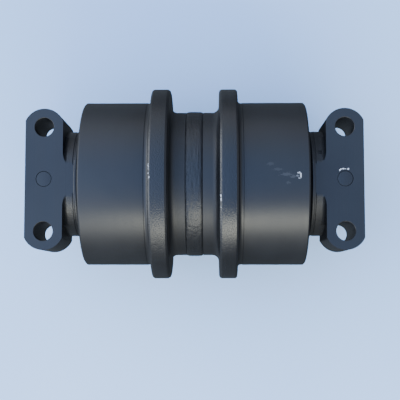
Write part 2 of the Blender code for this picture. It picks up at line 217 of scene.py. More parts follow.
def new_material(name):
    material = bpy.data.materials.new(name)
    material.use_nodes = True
    return material, material.node_tree, material.node_tree.nodes["Principled BSDF"]


bpy.ops.object.select_all(action="DESELECT")
bpy.ops.mesh.primitive_plane_add(size=FLOOR_SIZE, location=(0, 0, -FLANGE_RADIUS))
floor = bpy.context.object
floor.name = "floor"
floor_paint, floor_tree, floor_shader = new_material("pale_floor")
floor_coords = add(floor_tree, "ShaderNodeTexCoord").outputs["Object"]
floor_noise = add(floor_tree, "ShaderNodeTexNoise", {"Vector": floor_coords, "Scale": FLOOR_CLOUDS})
floor_ramp = add(floor_tree, "ShaderNodeValToRGB", {"Fac": floor_noise.outputs["Fac"]})
for element, tone in zip(floor_ramp.color_ramp.elements, FLOOR_TONES):
    element.color = tone
floor_look = {"Base Color": floor_ramp.outputs["Color"], "Roughness": FLOOR_ROUGHNESS}
fill(floor_tree, floor_shader.inputs, floor_look)
floor.data.materials.append(floor_paint)
floor.visible_glossy = False
print("floor:", FLOOR_SIZE, "m wide, at", round(floor.location.z / MM, 1), "mm")

# %% [markdown]
# Every shape below starts as a line, drawn as by hand: a plane is added and merged to a single vertex, and
# the vertex is extruded from point to point. Points that end up together are then merged, and the faces
# turned outwards. A curve object would draw the line too, but would need converting before each cut.

# %% Drawing a line
WELD_REACH = 0.002 * MM


def start_edit(name):
    """Leaves a single selected vertex at the origin, in edit mode."""
    bpy.ops.object.select_all(action="DESELECT")
    bpy.ops.mesh.primitive_plane_add(size=MM, location=(0, 0, 0))
    piece = bpy.context.object
    piece.name = name
    piece.data.name = name
    bpy.ops.object.mode_set(mode="EDIT")
    bpy.ops.mesh.select_all(action="SELECT")
    bpy.ops.mesh.merge(type="CENTER")
    return piece


def draw_line(points):
    """Moves the single vertex to the first point and extrudes it through the others."""
    bpy.ops.transform.translate(value=points[0])
    for before, after in zip(points, points[1:]):
        step = [b - a for a, b in zip(before, after)]
        bpy.ops.mesh.extrude_vertices_move(TRANSFORM_OT_translate={"value": step})


def close_mesh():
    """Merges what lies together, turns the faces outwards and leaves edit mode."""
    bpy.ops.mesh.select_all(action="SELECT")
    bpy.ops.mesh.remove_doubles(threshold=WELD_REACH)
    bpy.ops.mesh.normals_make_consistent(inside=False)
    bpy.ops.object.mode_set(mode="OBJECT")


print("points closer than", WELD_REACH / MM, "mm are merged")

# %% [markdown]
# Most pieces here are turned on a lathe, so the main tool is a lathe too: a profile is drawn and spun round
# Y. A Screw modifier would do as well, but spinning in edit mode leaves a plain mesh at once, ready for the
# next cut. Profiles are lists of (radius, distance along the shaft).

# %% Lathe
def lathe(name, profile, steps):
    """Spins a profile round Y. One that doesn't start and end on the axis is closed into a ring first."""
    piece = start_edit(name)
    points = [(radius, along, 0) for radius, along in profile]
    if profile[0][0] > 0 or profile[-1][0] > 0:
        points.append(points[0])
    draw_line(points)
    bpy.ops.mesh.select_all(action="SELECT")
    bpy.ops.mesh.spin(steps=steps, angle=2 * math.pi, center=(0, 0, 0), axis=(0, 1, 0))
    close_mesh()
    return piece


def arc(centre, radius, start, end, steps):
    """Points on an arc of a profile, with angles in degrees from the radius's direction towards +Y."""
    angles = [math.radians(start + (end - start) * i / steps) for i in range(steps + 1)]
    return [(centre[0] + radius * math.cos(a), centre[1] + radius * math.sin(a)) for a in angles]


print("a quarter turn in 5 steps has", len(arc((0, 0), MM, 0, 90, 5)), "points")

# %% [markdown]
# A piece is finished at the origin, with its place and turn applied to its mesh, because a finish that
# reads object coordinates would slide with the object otherwise. The right side's pieces are copies of the
# left side's, given half a turn. A mirror would turn their faces inside out.

# %% Placing and smoothing
def pick(piece):
    """Selects one piece alone and makes it the active one."""
    bpy.ops.object.select_all(action="DESELECT")
    piece.select_set(True)
    bpy.context.view_layer.objects.active = piece


def smooth(piece, degrees=32):
    pick(piece)
    bpy.ops.object.shade_smooth_by_angle(angle=math.radians(degrees))


def apply_turn(piece):
    pick(piece)
    bpy.ops.object.transform_apply(location=True, rotation=True, scale=True)


def turned_copy(piece, name):
    """A copy for the right side, half a turn round Z from the left one."""
    twin = piece.copy()
    twin.data = piece.data.copy()
    twin.name = name
    twin.data.name = name
    bpy.context.scene.collection.objects.link(twin)
    twin.rotation_euler = (0, 0, math.pi)
    apply_turn(twin)
    return twin


print("smooth up to 32 degrees; the right side is the left side turned by 180")

# %% [markdown]
# Real corners are never sharp. A bevel on the finished mesh would round them all alike, but each corner
# here has its own rounding, so it goes into the profile: a corner is replaced with a short arc that touches
# both of its straight runs.

# %% Rounded corners
def rounded(profile_before, corner, profile_after, radius, steps=5):
    """Points that round a corner between two straight runs of a profile."""
    point = Vector(corner)
    into = (Vector(profile_before) - point).normalized()
    out = (Vector(profile_after) - point).normalized()
    half = into.angle(out) / 2
    reach = radius / math.tan(half)
    centre = point + (into + out).normalized() * (radius / math.sin(half))
    first = point + into * reach - centre
    last = point + out * reach - centre
    spread = first.angle_signed(last)
    turns = [Matrix.Rotation(-spread * i / steps, 2) for i in range(steps + 1)]
    return [tuple(centre + t @ first) for t in turns]


def round_corners(corners):
    """Corners are (radius from the axis, distance along it, rounding). A rounding of 0 stays sharp."""
    points = []
    count = len(corners)
    for i, (radius, along, rounding) in enumerate(corners):
        before = corners[i - 1][:2]
        after = corners[(i + 1) % count][:2]
        if rounding > 0:
            points += rounded(before, (radius, along), after, rounding)
        else:
            points.append((radius, along))
    return points


square = [(0, 0, 0), (MM, 0, 0), (MM, MM, 0.2 * MM), (0, MM, 0)]
print("a square with one round corner:", len(round_corners(square)), "points")

# %% [markdown]
# Each half of the shell is forged, then turned: a tread with a small relief where it meets the flange, a
# flange with rounded crown edges, and half a waist that ends in the weld's bevel. One profile could be
# traced with a few points, but it is these small drops and fillets that catch the light, so they are all
# given.

# %% Shell outside
TREAD_RADIUS = FLANGE_RADIUS - 12.9 * MM
WAIST_RADIUS = FLANGE_RADIUS - 22.2 * MM
CHAMFER_DROP = 1.5 * MM
CHAMFER_LENGTH = 1.4 * MM
RELIEF_DEPTH = 0.22 * MM
RELIEF_EDGE = 44.5 * MM
ROOT_FILLET = 3.4 * MM
EDGE_DROP = 1.15 * MM
FLANGE_OUTER = 38.9 * MM
FLANGE_INNER = 24.7 * MM
FLANGE_ROOT = 22.4 * MM
WAIST_FILLET = 6.0 * MM
BEVEL_TOP = BEAD_HALF_WIDTH + 0.40 * MM

relief = TREAD_RADIUS - RELIEF_DEPTH
shell_outside = [
    (TREAD_RADIUS - CHAMFER_DROP, SHELL_END, 0.5 * MM),
    (TREAD_RADIUS, SHELL_END - CHAMFER_LENGTH, 0.7 * MM),
    (TREAD_RADIUS, RELIEF_EDGE + 0.4 * MM, 0.15 * MM),
    (relief, RELIEF_EDGE, 0.15 * MM),
    (relief, FLANGE_OUTER + 1.4 * MM, ROOT_FILLET),
    (FLANGE_RADIUS - EDGE_DROP, FLANGE_OUTER + 1.0 * MM, 0.6 * MM),
    (FLANGE_RADIUS, FLANGE_OUTER - 0.8 * MM, 0.5 * MM),
    (FLANGE_RADIUS, FLANGE_INNER + 0.6 * MM, 0.5 * MM),
    (FLANGE_RADIUS - EDGE_DROP, FLANGE_INNER - 1.2 * MM, 0.5 * MM),
    (FLANGE_RADIUS - 2.8 * MM, FLANGE_INNER - 1.9 * MM, 0.8 * MM),
    (WAIST_RADIUS, FLANGE_ROOT, WAIST_FILLET),
    (WAIST_RADIUS, BEVEL_TOP, 0.25 * MM),
]
print("tread", round(TREAD_RADIUS / MM, 1), "waist", round(WAIST_RADIUS / MM, 1), "mm from the axis")

# %% [markdown]
# Inside are the oil chamber, the bush's seat, the seal's housing and the recess that the collar dips into.
# Nobody sees them while the roller is whole, but the profile has to close somewhere, and a true inside lets
# the half be taken off and looked at.

# %% Shell inside
BEVEL_RADIUS = 54.0 * MM
BEVEL_ROOT = 2.9 * MM
JOINT_GAP = 0.15 * MM
CHAMBER_RADIUS = 42.0 * MM
CHAMBER_END = 28.0 * MM
BUSH_RADIUS = 32.3 * MM
BUSH_START = 33.0 * MM
BUSH_FLANGE_SEAT = 81.0 * MM
BUSH_FLANGE_RADIUS = 40.4 * MM
HOUSING_START = 85.5 * MM
HOUSING_THROAT = 86.9 * MM
HOUSING_FLOOR_RADIUS = 43.0 * MM
HOUSING_THROAT_RADIUS = 44.6 * MM
HOUSING_MOUTH_RADIUS = 46.0 * MM
RECESS_FLOOR = 98.5 * MM
RECESS_RADIUS = 52.0 * MM

shell_inside = [
    (BEVEL_RADIUS, BEVEL_ROOT, 0),
    (BEVEL_RADIUS, JOINT_GAP, 0),
    (CHAMBER_RADIUS, JOINT_GAP, 0),
    (CHAMBER_RADIUS, CHAMBER_END, 2.0 * MM),
    (BUSH_RADIUS, BUSH_START, 0.6 * MM),
    (BUSH_RADIUS, BUSH_FLANGE_SEAT, 0),
    (BUSH_FLANGE_RADIUS, BUSH_FLANGE_SEAT, 0.4 * MM),
    (BUSH_FLANGE_RADIUS, HOUSING_START, 0),
    (HOUSING_FLOOR_RADIUS, HOUSING_START, 1.0 * MM),
    (HOUSING_THROAT_RADIUS, HOUSING_THROAT, 0.8 * MM),
    (HOUSING_MOUTH_RADIUS, RECESS_FLOOR, 0.6 * MM),
    (RECESS_RADIUS, RECESS_FLOOR, 0.5 * MM),
]
print("the chamber is", round((CHAMBER_RADIUS - SHAFT_RADIUS) / MM, 1), "mm deep round the shaft")

# %% [markdown]
# The two runs and the recess's rim make one closed profile. It is spun in many steps, because the camera
# looks along a silhouette that a coarse ring would show as corners.

# %% Shell halves
SHELL_STEPS = 168

recess_rim = [(RECESS_RADIUS, SHELL_END, 0.7 * MM)]
shell_profile = round_corners(recess_rim + shell_outside + shell_inside)
half_left = lathe("forged_half_left", shell_profile, SHELL_STEPS)
smooth(half_left)
half_right = turned_copy(half_left, "forged_half_right")
print("half shell:", len(half_left.data.polygons), "faces")

# %% [markdown]
# The weld is the one rough stretch of the waist: a low crown with toes that undercut a little. Its ring
# comes from the lathe with many small steps, fine enough to carry the roughness that is added next.

# %% Weld ring
BEAD_STEPS = 420
CROWN_POINTS = 22
CROWN_POWER = 5
CROWN_SPARE = 0.12 * MM
TOE_RISE = 0.05 * MM
ROOT_RADIUS = 54.3 * MM
ROOT_HALF_WIDTH = 2.8 * MM

bead_toe = WAIST_RADIUS + TOE_RISE
bead_profile = []
for i in range(CROWN_POINTS + 1):
    across = 1 - 2 * i / CROWN_POINTS
    crown = (1 - abs(across) ** CROWN_POWER) * (BEAD_RADIUS - bead_toe - CROWN_SPARE)
    bead_profile.append((bead_toe + crown, across * BEAD_HALF_WIDTH))
bead_profile += [(ROOT_RADIUS, -ROOT_HALF_WIDTH), (ROOT_RADIUS, ROOT_HALF_WIDTH)]
weld_ring = lathe("weld_ring", bead_profile, BEAD_STEPS)
print("weld ring:", len(weld_ring.data.polygons), "faces")

# %% [markdown]
# A weld shows fine ripples round the seam, lumps, streaks and scattered pits. A Displace modifier could do
# it, but these layers differ in direction: ripples run across, streaks run along. So each outer point is
# moved in or out by its own sum of noises. Moving real points keeps the roughness in the mesh, where light
# can graze it.

# %% Weld skin
RIPPLE = 0.03 * MM
RIPPLE_LENGTH = 1.15 * MM
RIPPLE_BOW = 2.2
LUMP = 0.27 * MM
PIT = 0.90 * MM
PIT_LEVEL = 0.42
PIT_OFFSET = Vector((7, 3, 5))
UNDERCUT = 0.60 * MM
UNDERCUT_START = 0.88
BITE_LENGTH = 2.2 * MM
SKIN_EDGE = 1.2 * MM
HIGHEST_PUSH = 0.1 * MM


def weld_push(spot):
    """How far the weld's skin stands out at a point. The numbers on the noises are waves per metre."""
    angle = math.atan2(spot.z, spot.x)
    along = spot.y / BEAD_HALF_WIDTH
    arc_length = angle * BEAD_RADIUS
    wander = 3 * noise.noise(spot * 60)
    ripple = math.sin(arc_length / RIPPLE_LENGTH + RIPPLE_BOW * along * along + wander)
    lumps = noise.noise(spot * 420) + 0.6 * noise.noise(spot * 900)
    streak = noise.noise(Vector((spot.y * 900, angle * 5, 0)))
    pit = max(0.0, noise.noise(spot * 640 + PIT_OFFSET) - PIT_LEVEL)
    toe = max(0.0, abs(along) - UNDERCUT_START) / (1 - UNDERCUT_START)
    bite = 0.5 + 0.5 * noise.noise(Vector((arc_length / BITE_LENGTH, along, 0)))
    undercut = UNDERCUT * toe * bite * (1.5 if along < 0 else 0.8)
    return RIPPLE * ripple + LUMP * (0.35 * lumps + 0.8 * streak) - PIT * pit - undercut


pushes = []
for vertex in weld_ring.data.vertices:
    radius = math.hypot(vertex.co.x, vertex.co.z)
    if radius > bead_toe - 0.01 * MM:
        edge = min(1.0, (BEAD_HALF_WIDTH - abs(vertex.co.y)) / SKIN_EDGE)
        push = min(weld_push(vertex.co) * (0.35 + 0.65 * edge), HIGHEST_PUSH)
        vertex.co.x *= 1 + push / radius
        vertex.co.z *= 1 + push / radius
        pushes.append(push / MM)
smooth(weld_ring, 60)
print("weld skin moved by", round(min(pushes), 2), "to", round(max(pushes), 2), "mm")

# %% [markdown]
# A collar is a round body that dips into the shell's end, and a lug with two ears. Its pieces are a turned
# one and some prisms, so four more tools are needed: a filled outline pulled up, a straight drill, a lathe
# piece stood on end, and a plain block. The block only ever cuts.

# %% Collar shapes
def outline_prism(name, outline, low, high):
    """Draws an outline in X and Y, fills it, and pulls it up along Z."""
    piece = start_edit(name)
    points = [(x, y, low) for x, y in outline]
    draw_line([*points, points[0]])
    bpy.ops.mesh.select_all(action="SELECT")
    bpy.ops.mesh.remove_doubles(threshold=WELD_REACH)
    bpy.ops.mesh.edge_face_add()
    bpy.ops.mesh.extrude_region_move(TRANSFORM_OT_translate={"value": (0, 0, high - low)})
    close_mesh()
    return piece


def plain_drill(name, radius, start, end, steps):
    """A straight drill along Y, from start to end."""
    return lathe(name, [(0, start), (radius, start), (radius, end), (0, end)], steps)


def stand_up(piece, x, y):
    """Turns a piece from the lathe's axis to +Z and moves it to its place."""
    piece.rotation_euler = (math.radians(90), 0, 0)
    piece.location = (x, y, 0)
    apply_turn(piece)
    return piece


def block(name, low, high):
    bpy.ops.object.select_all(action="DESELECT")
    middle = [(a + b) / 2 for a, b in zip(low, high)]
    bpy.ops.mesh.primitive_cube_add(size=1, location=middle)
    piece = bpy.context.object
    piece.name = name
    piece.scale = [b - a for a, b in zip(low, high)]
    apply_turn(piece)
    return piece


print("the ears reach", round(LUG_REACH / MM, 1), "mm from the middle, and the lug is", end=" ")
print(round(2 * LUG_HALF / MM, 1), "mm thick")

# %% [markdown]
# Booleans join and cut the raw shapes, as the mill and the drill do on the forging. One bevel then breaks
# every sharp edge at once, as a grinder does. The normals are weighted by face size after that, so that a
# long flat face beside a bevel still shades flat.

# %% Cutting and breaking edges
def combine(piece, other, operation):
    """Applies one Boolean and removes the shape that made it."""
    cut = piece.modifiers.new(other.name, "BOOLEAN")
    cut.operation = operation
    cut.solver = "EXACT"
    cut.object = other
    pick(piece)
    bpy.ops.object.modifier_apply(modifier=cut.name)
    bpy.data.objects.remove(other)


def break_edges(piece, width, degrees=40, segments=2):
    """Bevels every edge that is sharper than an angle."""
    bevel = piece.modifiers.new("broken_edges", "BEVEL")
    bevel.width = width
    bevel.segments = segments
    bevel.limit_method = "ANGLE"
    bevel.angle_limit = math.radians(degrees)
    bevel.use_clamp_overlap = True
    pick(piece)
    bpy.ops.object.modifier_apply(modifier=bevel.name)


def even_normals(piece):
    weigh = piece.modifiers.new("even_normals", "WEIGHTED_NORMAL")
    weigh.keep_sharp = True
    pick(piece)
    bpy.ops.object.modifier_apply(modifier=weigh.name)


EDGE_BREAK = 0.55 * MM
print("edges are broken by", EDGE_BREAK / MM, "mm")

# %% [markdown]
# The collar's round body is turned: a boss, a rim that ends just outside the shell with a dark gap before
# it, and a thinner sleeve that reaches into the shell's recess and shields the seal. Inside are the other
# half of the seal's housing and the hub that the bush's flange runs against.

# %% Collar body
BOSS_RADIUS = 50.0 * MM
GROOVE_START = 109.7 * MM
GROOVE_END = 111.6 * MM
GROOVE_RADIUS = 49.6 * MM
GROOVE_LEAD = 0.5 * MM
RIM_START = 108.1 * MM
SLEEVE_RADIUS = 47.0 * MM
SLEEVE_START = 106.2 * MM
SLEEVE_END = 101.5 * MM
COLLAR_THROAT = 113.1 * MM
COLLAR_FLOOR = 114.5 * MM
HUB_RADIUS = 33.0 * MM
HUB_END = 85.9 * MM
CORE_RADIUS = 20.0 * MM

boss_corners = [
    (BOSS_RADIUS, OUTER_FACE, 0.8 * MM),
    (BOSS_RADIUS, GROOVE_END, 0.3 * MM),
    (GROOVE_RADIUS, GROOVE_END - GROOVE_LEAD, 0.3 * MM),
    (GROOVE_RADIUS, GROOVE_START + GROOVE_LEAD, 0.3 * MM),
    (BOSS_RADIUS, GROOVE_START, 0.3 * MM),
    (BOSS_RADIUS, RIM_START, 0.4 * MM),
    (SLEEVE_RADIUS, SLEEVE_START, 0.4 * MM),
    (SLEEVE_RADIUS, SLEEVE_END, 0.4 * MM),
    (HOUSING_MOUTH_RADIUS, SLEEVE_END, 0.3 * MM),
    (HOUSING_THROAT_RADIUS, COLLAR_THROAT, 0.6 * MM),
    (HOUSING_FLOOR_RADIUS, COLLAR_FLOOR, 0.6 * MM),
    (HUB_RADIUS, COLLAR_FLOOR, 1.0 * MM),
    (HUB_RADIUS, HUB_END, 0.6 * MM),
    (CORE_RADIUS, HUB_END, 0),
    (CORE_RADIUS, OUTER_FACE, 0),
]
print("gap between shell and rim:", round((RIM_START - SHELL_END) / MM, 1), "mm")

# %% [markdown]
# The lug is a prism with two round ears. Where the boss runs into it, a forging has a fillet, which a bevel
# can't make after the Boolean without also rounding the mill's edges. So the fillet is a small ring of its
# own, turned on the lathe and kept within the lug's height. NEAR and FAR lie well past the collar, so that
# no cut leaves a skin.

# %% Lug and neck
LUG_BOTTOM = -17.0 * MM
EAR_RADIUS = 18.9 * MM
EAR_STEPS = 28
NECK_FILLET = 5.0 * MM
NECK_REACH = 41.0 * MM
NECK_DEPTH = 5.0 * MM
NECK_CORE = 45.0 * MM
NECK_BOTTOM = 20.0 * MM
NECK_TOP = 70.0 * MM
EMBED = 0.2 * MM
COLLAR_STEPS = 144
NEAR = 100.0 * MM
FAR = 200.0 * MM


def ear_outline():
    """Plan of the lug: two round ears and straight sides."""
    centre_x = LUG_REACH - EAR_RADIUS
    lean = math.degrees(math.asin(LUG_HALF / EAR_RADIUS))
    ear = [(x, LUG_MIDDLE + y) for x, y in arc((centre_x, 0), EAR_RADIUS, -lean, lean, EAR_STEPS)]
    return ear + [(-x, y) for x, y in reversed(ear)]


def neck_shape():
    """The fillet from the round body into the lug."""
    lug_face = LUG_MIDDLE - LUG_HALF
    centre = (BOSS_RADIUS - EMBED + NECK_FILLET, lug_face + EMBED - NECK_FILLET)
    profile = [(centre[0], lug_face + NECK_DEPTH), *arc(centre, NECK_FILLET, 90, 180, 10)]
    profile += [(NECK_CORE, centre[1]), (NECK_CORE, lug_face + NECK_DEPTH)]
    ring = lathe("neck", profile, COLLAR_STEPS)
    span = block("neck_span", (-NECK_REACH, NEAR, NECK_BOTTOM), (NECK_REACH, FAR, NECK_TOP))
    combine(ring, span, "INTERSECT")
    return ring


print("ear outline:", len(ear_outline()), "points")

# %% [markdown]
# Each ear has a bolt hole, drilled from the milled face down to a spot face where the bolt's head bears.
# The drill is a lathe piece whose profile already holds the countersink's lip at both ends.

# %% Bolt holes
BOLT_X = 47.85 * MM
BOLT_HOLE_RADIUS = 8.75 * MM
BOLT_HOLE_LIP = 0.35 * MM
SEAT_RADIUS = 15.5 * MM
SEAT_HEIGHT = -15.5 * MM
DRILL_ABOVE = 2.0 * MM
DRILL_BELOW = -60.0 * MM


def bolt_hole_cutter(x):
    """A drill with a countersink's lip at the milled face and at the seat."""
    wide = BOLT_HOLE_RADIUS + 2 * BOLT_HOLE_LIP
    profile = [
        (0, MOUNT_HEIGHT + DRILL_ABOVE),
        (wide, MOUNT_HEIGHT + DRILL_ABOVE),
        (wide, MOUNT_HEIGHT + BOLT_HOLE_LIP),
        (BOLT_HOLE_RADIUS, MOUNT_HEIGHT - BOLT_HOLE_LIP),
        (BOLT_HOLE_RADIUS, SEAT_HEIGHT + BOLT_HOLE_LIP),
        (wide, SEAT_HEIGHT - BOLT_HOLE_LIP),
        (wide, DRILL_BELOW),
        (0, DRILL_BELOW),
    ]
    return stand_up(lathe("drill", profile, 64), x, LUG_MIDDLE)


def seat_cutter(x):
    return stand_up(plain_drill("seat", SEAT_RADIUS, SEAT_HEIGHT, -FAR, 72), x, LUG_MIDDLE)


print("bolt holes", round(2 * BOLT_X / MM, 1), "mm apart,", 2 * BOLT_HOLE_RADIUS / MM, "mm wide")

# %% [markdown]
# Now the collar is put together and cut: the lug and the neck are joined to the body, the mill takes the
# face flat and leaves the rim standing, and then come the bore, the spot faces and the bolt holes. The
# pin's hole is reamed last, after the edges are broken, because on the real collar it stays sharp.

# %% Collars
BORE_GAP = 0.3 * MM
BORE_START = 80.0 * MM
PIN_GAP = 0.30 * MM
SEEN_PIN_RADIUS = PIN_RADIUS - 0.6 * MM
PIN_HOLE_BOTTOM = 10.0 * MM


def make_collar():
    collar = lathe("end_collar_left", round_corners(boss_corners), COLLAR_STEPS)
    lug = outline_prism("lug", ear_outline(), LUG_BOTTOM, MOUNT_HEIGHT)
    combine(collar, lug, "UNION")
    combine(collar, neck_shape(), "UNION")
    mill = block("mill", (-NEAR, (GROOVE_START + GROOVE_END) / 2, MOUNT_HEIGHT), (NEAR, FAR, NEAR))
    combine(collar, mill, "DIFFERENCE")
    combine(collar, plain_drill("bore", SHAFT_RADIUS + BORE_GAP, FAR, BORE_START, 128), "DIFFERENCE")
    for x in (-BOLT_X, BOLT_X):
        combine(collar, seat_cutter(x), "DIFFERENCE")
        combine(collar, bolt_hole_cutter(x), "DIFFERENCE")
    break_edges(collar, EDGE_BREAK)
    reamer = plain_drill("reamer", SEEN_PIN_RADIUS + PIN_GAP, NEAR, PIN_HOLE_BOTTOM, 48)
    combine(collar, stand_up(reamer, 0, LUG_MIDDLE), "DIFFERENCE")
    smooth(collar, 35)
    even_normals(collar)
    return collar


collar_left = make_collar()
collar_right = turned_copy(collar_left, "end_collar_right")
print("collar:", len(collar_left.data.polygons), "faces")

# %% [markdown]
# The shaft shows only its two ends, and the right end holds the oil plug in a counterbore. A disc at each
# end would look the same, but the whole shaft is made, drilled as the real one is, so that it stands up to
# being taken out and looked at.

# %% Shaft profile
CENTRE_MARK_RADIUS = 4.2 * MM
ORING_GROOVE_START = 118.0 * MM
ORING_GROOVE_END = 121.7 * MM
ORING_GROOVE_RADIUS = 24.8 * MM
PLUG_RECESS_RADIUS = 11.8 * MM
PLUG_SEAT = 147.5 * MM
THREAD_HOLE_RADIUS = 7.2 * MM
THREAD_HOLE_END = 134.2 * MM
OIL_HOLE_RADIUS = 4.0 * MM
OIL_HOLE_START = 132.2 * MM
OIL_HOLE_END = 6.0 * MM
GROOVE_CORNER = 0.3 * MM


def oring_groove(side):
    """Corners of the groove at one end, walked from +Y to -Y."""
    near, far = side * ORING_GROOVE_START, side * ORING_GROOVE_END
    first, last = (far, near) if side > 0 else (near, far)
    bottom = ORING_GROOVE_RADIUS
    corners = [(SHAFT_RADIUS, first), (bottom, first), (bottom, last), (SHAFT_RADIUS, last)]
    return [(radius, along, GROOVE_CORNER) for radius, along in corners]


shaft_corners = [
    (0, SHAFT_END - 3.0 * MM, 0),
    (2.0 * MM, SHAFT_END - 2.4 * MM, 0),
    (CENTRE_MARK_RADIUS, SHAFT_END, 0),
    (SHAFT_RADIUS, SHAFT_END, 1.2 * MM),
    *oring_groove(1),
    *oring_groove(-1),
    (SHAFT_RADIUS, -SHAFT_END, 1.2 * MM),
    (PLUG_RECESS_RADIUS, -SHAFT_END, 0.4 * MM),
    (PLUG_RECESS_RADIUS, -PLUG_SEAT, 0.3 * MM),
    (THREAD_HOLE_RADIUS, -PLUG_SEAT, 0.2 * MM),
    (THREAD_HOLE_RADIUS, -THREAD_HOLE_END, 0),
    (OIL_HOLE_RADIUS, -OIL_HOLE_START, 0),
    (OIL_HOLE_RADIUS, OIL_HOLE_END, 0),
    (0, OIL_HOLE_END + 2.0 * MM, 0),
]
print("shaft profile:", len(shaft_corners), "corners")

# %% [markdown]
# The oil comes out of the long drilling through one cross hole, and a flat-bottomed hole near each end
# takes the lock pin. All three are cut with lathe pieces, stood up or laid across.

# %% Shaft
PIN_SEAT_GAP = 0.3 * MM
PIN_SEAT_BOTTOM = 11.7 * MM
CROSS_HOLE_RADIUS = 3.0 * MM
PAST_SHAFT = 50.0 * MM


shaft = lathe("drilled_shaft", round_corners(shaft_corners), 128)
for side in (1, -1):
    pin_seat = plain_drill("pin_seat", PIN_RADIUS + PIN_SEAT_GAP, PAST_SHAFT, PIN_SEAT_BOTTOM, 48)
    combine(shaft, stand_up(pin_seat, 0, side * LUG_MIDDLE), "DIFFERENCE")
cross = plain_drill("cross_drill", CROSS_HOLE_RADIUS, PAST_SHAFT, -PAST_SHAFT, 32)
cross.rotation_euler = (0, 0, math.radians(90))
apply_turn(cross)
combine(shaft, cross, "DIFFERENCE")
smooth(shaft)
print("shaft:", len(shaft.data.polygons), "faces")

# %% [markdown]
# A solid pin locks each collar to the shaft, and all that shows is its top in a thin dark ring. The top
# lies a hair below the milled face. A painted circle would give the ring too, but a real gap darkens with
# the light.

# %% Lock pins
PIN_TOP_EDGE = 0.3 * MM
PIN_LEAD = 1.0 * MM


def make_pin():
    corners = [
        (0, pin_high.z, 0),
        (SEEN_PIN_RADIUS, pin_high.z, PIN_TOP_EDGE),
        (SEEN_PIN_RADIUS, pin_low.z, PIN_LEAD),
        (0, pin_low.z, 0),
    ]
    pin = stand_up(lathe("locking_pin_left", round_corners(corners), 64), 0, LUG_MIDDLE)
    smooth(pin)
    return pin


pin_left = make_pin()
pin_right = turned_copy(pin_left, "locking_pin_right")
pin_length = round((pin_high.z - pin_low.z) / MM, 1)
print("lock pins:", round(2 * SEEN_PIN_RADIUS / MM, 1), "mm wide,", pin_length, "mm long")

# %% [markdown]
# The oil plug is a screw with a flat head and a hexagon socket, sunk in the shaft's right end. A lathe with
# six steps makes the key that cuts the socket.

# %% Oil plug
PLUG_HEAD_TOP = 153.5 * MM
PLUG_HEAD_BOTTOM = 149.5 * MM
PLUG_HEAD_RADIUS = 11.0 * MM
PLUG_THREAD_RADIUS = 6.9 * MM
PLUG_THREAD_END = 136.2 * MM
KEY_ACROSS_FLATS = 8.0 * MM
KEY_BOTTOM = 147.5 * MM

plug_corners = [
    (0, -PLUG_HEAD_TOP, 0),
    (PLUG_HEAD_RADIUS, -PLUG_HEAD_TOP, 0.9 * MM),
    (PLUG_HEAD_RADIUS, -PLUG_HEAD_BOTTOM, 0.3 * MM),
    (PLUG_THREAD_RADIUS, -PLUG_HEAD_BOTTOM, 0.3 * MM),
    (PLUG_THREAD_RADIUS, -PLUG_THREAD_END, 0.8 * MM),
    (0, -PLUG_THREAD_END, 0),
]
plug = lathe("oil_plug", round_corners(plug_corners), 64)
key_corner = KEY_ACROSS_FLATS / 2 / math.cos(math.radians(30))
key = plain_drill("hex_key", key_corner, -FAR, -KEY_BOTTOM, 6)
combine(plug, key, "DIFFERENCE")
break_edges(plug, 0.3 * MM, 50)
smooth(plug)
print("plug:", len(plug.data.polygons), "faces")

# %% [markdown]
# ## Finishes
# Every outside surface carries the same satin black paint, sprayed after assembly. What differs is the
# steel under it: turned lines on the treads, waist and faces, and a pebbly skin on the forged flanges and
# collars. So the effects are node groups, and each material places them with its own values. Painted image
# maps would need unwrapped pieces and would blur close up.

# %% Making groups
FLOAT, VECTOR, COLOUR = "NodeSocketFloat", "NodeSocketVector", "NodeSocketColor"


def new_group(name, inputs, outputs):
    """A node group. Inputs are name to (socket type, default), and outputs are name to socket type."""
    tree = bpy.data.node_groups.new(name, "ShaderNodeTree")
    for label, (kind, default) in inputs.items():
        socket = tree.interface.new_socket(label, in_out="INPUT", socket_type=kind)
        if default is not None:
            socket.default_value = default
    for label, kind in outputs.items():
        tree.interface.new_socket(label, in_out="OUTPUT", socket_type=kind)
    return tree, tree.nodes.new("NodeGroupInput").outputs, tree.nodes.new("NodeGroupOutput").inputs


print("shader groups before the finishes:", len(bpy.data.node_groups))

# %% [markdown]
# The effects are mostly sums, colour mixes, soft ramps and noise, so each of those gets a short name.

# %% Sums, mixes, ramps and noise
COLOUR_A, COLOUR_B, COLOUR_RESULT = 6, 7, 2


def mix_colour(tree, factor, first, second):
    """Mixes two colours. The node's sockets are given by number, because their names repeat."""
    mixed = {0: factor, COLOUR_A: first, COLOUR_B: second}
    return add(tree, "ShaderNodeMix", mixed, data_type="RGBA").outputs[COLOUR_RESULT]


def between(tree, value, low, high):
    """A soft 0 to 1 ramp of a value."""
    limits = {"Value": value, "From Min": low, "From Max": high}
    return add(tree, "ShaderNodeMapRange", limits, interpolation_type="SMOOTHSTEP").outputs["Result"]


def clouds(tree, vector, scale, detail):
    inputs = {"Vector": vector, "Scale": scale, "Detail": detail}
    return add(tree, "ShaderNodeTexNoise", inputs).outputs["Fac"]


print("colour sockets of a mix:", COLOUR_A, COLOUR_B)

# %% [markdown]
# Turning leaves fine rings of uneven depth. They only vary along one direction, so the group reads a single
# number, the distance across the rings, and turns it into a height with a fine and a broad layer of
# one-dimensional noise. Real grooves would need millions of faces.

# %% Group: tool lines
BROAD_STEP = 0.13
FINE_SHARE = 0.6

tool_lines, lines_in, lines_out = new_group(
    "tool_lines", {"Across": (FLOAT, 0.0), "Spacing": (FLOAT, 0.0006)}, {"Height": FLOAT, "Tone": FLOAT}
)


